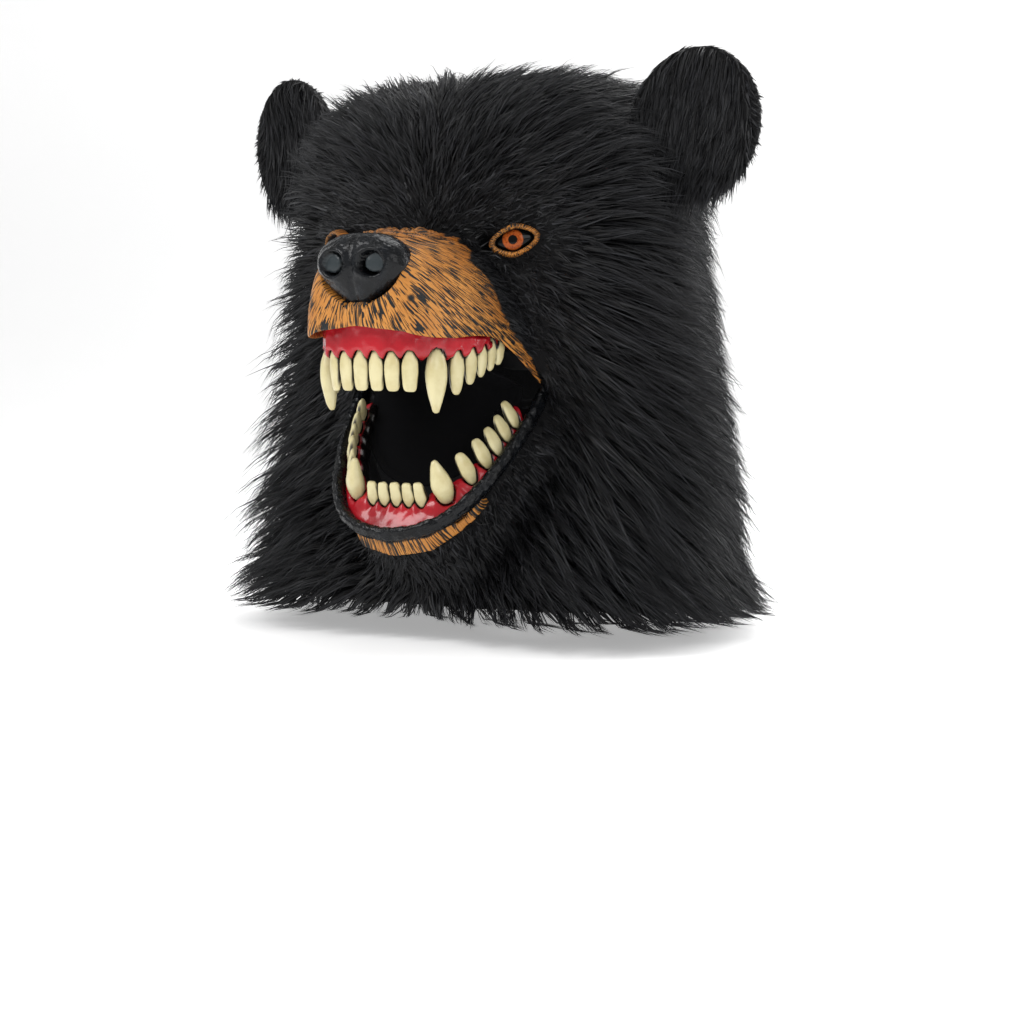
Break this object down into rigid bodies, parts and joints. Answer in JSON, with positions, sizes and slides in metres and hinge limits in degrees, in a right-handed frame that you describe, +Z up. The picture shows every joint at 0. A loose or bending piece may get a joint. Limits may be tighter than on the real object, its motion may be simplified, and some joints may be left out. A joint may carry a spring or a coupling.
{
  "type": "over-the-head bear mask",
  "caption": "Hollow over-the-head bear mask: padded hood in deep black fur, round ears, and a moulded tan muzzle with open jaws and separate teeth.",
  "frame": {"origin": "where the crown of the wearer's head meets the inside of the hood", "axes": "+Z up along the wearer's head, -Y out of the bear's face, +X to the bear's left"},
  "size_m": [0.448, 0.3629, 0.4081],
  "materials": {
    "foam": "matte foam in black cloth",
    "fur": "deep black fur pile with a blue-grey sheen",
    "ear_fur": "short black fur",
    "tan_rubber": "painted tan with black hair strokes",
    "nose_rubber": "glossy pebbled black",
    "gum": "glossy red with dark lines round the teeth",
    "tooth": "glossy ivory",
    "lip": "glossy wrinkled black",
    "lining": "matte black cloth",
    "eye": "clear glossy orange-brown iris in black"
  },
  "bodies": {
    "root": {"hood": "foam", "fur_coat": "fur", "muzzle": "tan_rubber", "nose": "nose_rubber", "upper_gum": "gum", "lower_gum": "gum", "lower_lip": "lip", "chin": "tan_rubber", "mouth_lining": "lining", "eyelid_left": "tan_rubber", "eye_left": "eye", "ear_left": "ear_fur", "eyelid_right": "tan_rubber", "eye_right": "eye", "ear_right": "ear_fur", "upper_incisor_1": "tooth", "upper_incisor_2": "tooth", "upper_incisor_3": "tooth", "upper_incisor_4": "tooth", "upper_incisor_5": "tooth", "upper_incisor_6": "tooth", "upper_canine_left": "tooth", "upper_cheek_tooth_left_1": "tooth", "upper_cheek_tooth_left_2": "tooth", "upper_cheek_tooth_left_3": "tooth", "upper_cheek_tooth_left_4": "tooth", "upper_cheek_tooth_left_5": "tooth", "upper_canine_right": "tooth", "upper_cheek_tooth_right_1": "tooth", "upper_cheek_tooth_right_2": "tooth", "upper_cheek_tooth_right_3": "tooth", "upper_cheek_tooth_right_4": "tooth", "upper_cheek_tooth_right_5": "tooth", "lower_incisor_1": "tooth", "lower_incisor_2": "tooth", "lower_incisor_3": "tooth", "lower_incisor_4": "tooth", "lower_incisor_5": "tooth", "lower_canine_left": "tooth", "lower_cheek_tooth_left_1": "tooth", "lower_cheek_tooth_left_2": "tooth", "lower_cheek_tooth_left_3": "tooth", "lower_cheek_tooth_left_4": "tooth", "lower_cheek_tooth_left_5": "tooth", "lower_canine_right": "tooth", "lower_cheek_tooth_right_1": "tooth", "lower_cheek_tooth_right_2": "tooth", "lower_cheek_tooth_right_3": "tooth", "lower_cheek_tooth_right_4": "tooth", "lower_cheek_tooth_right_5": "tooth"}
  },
  "joints": []
}
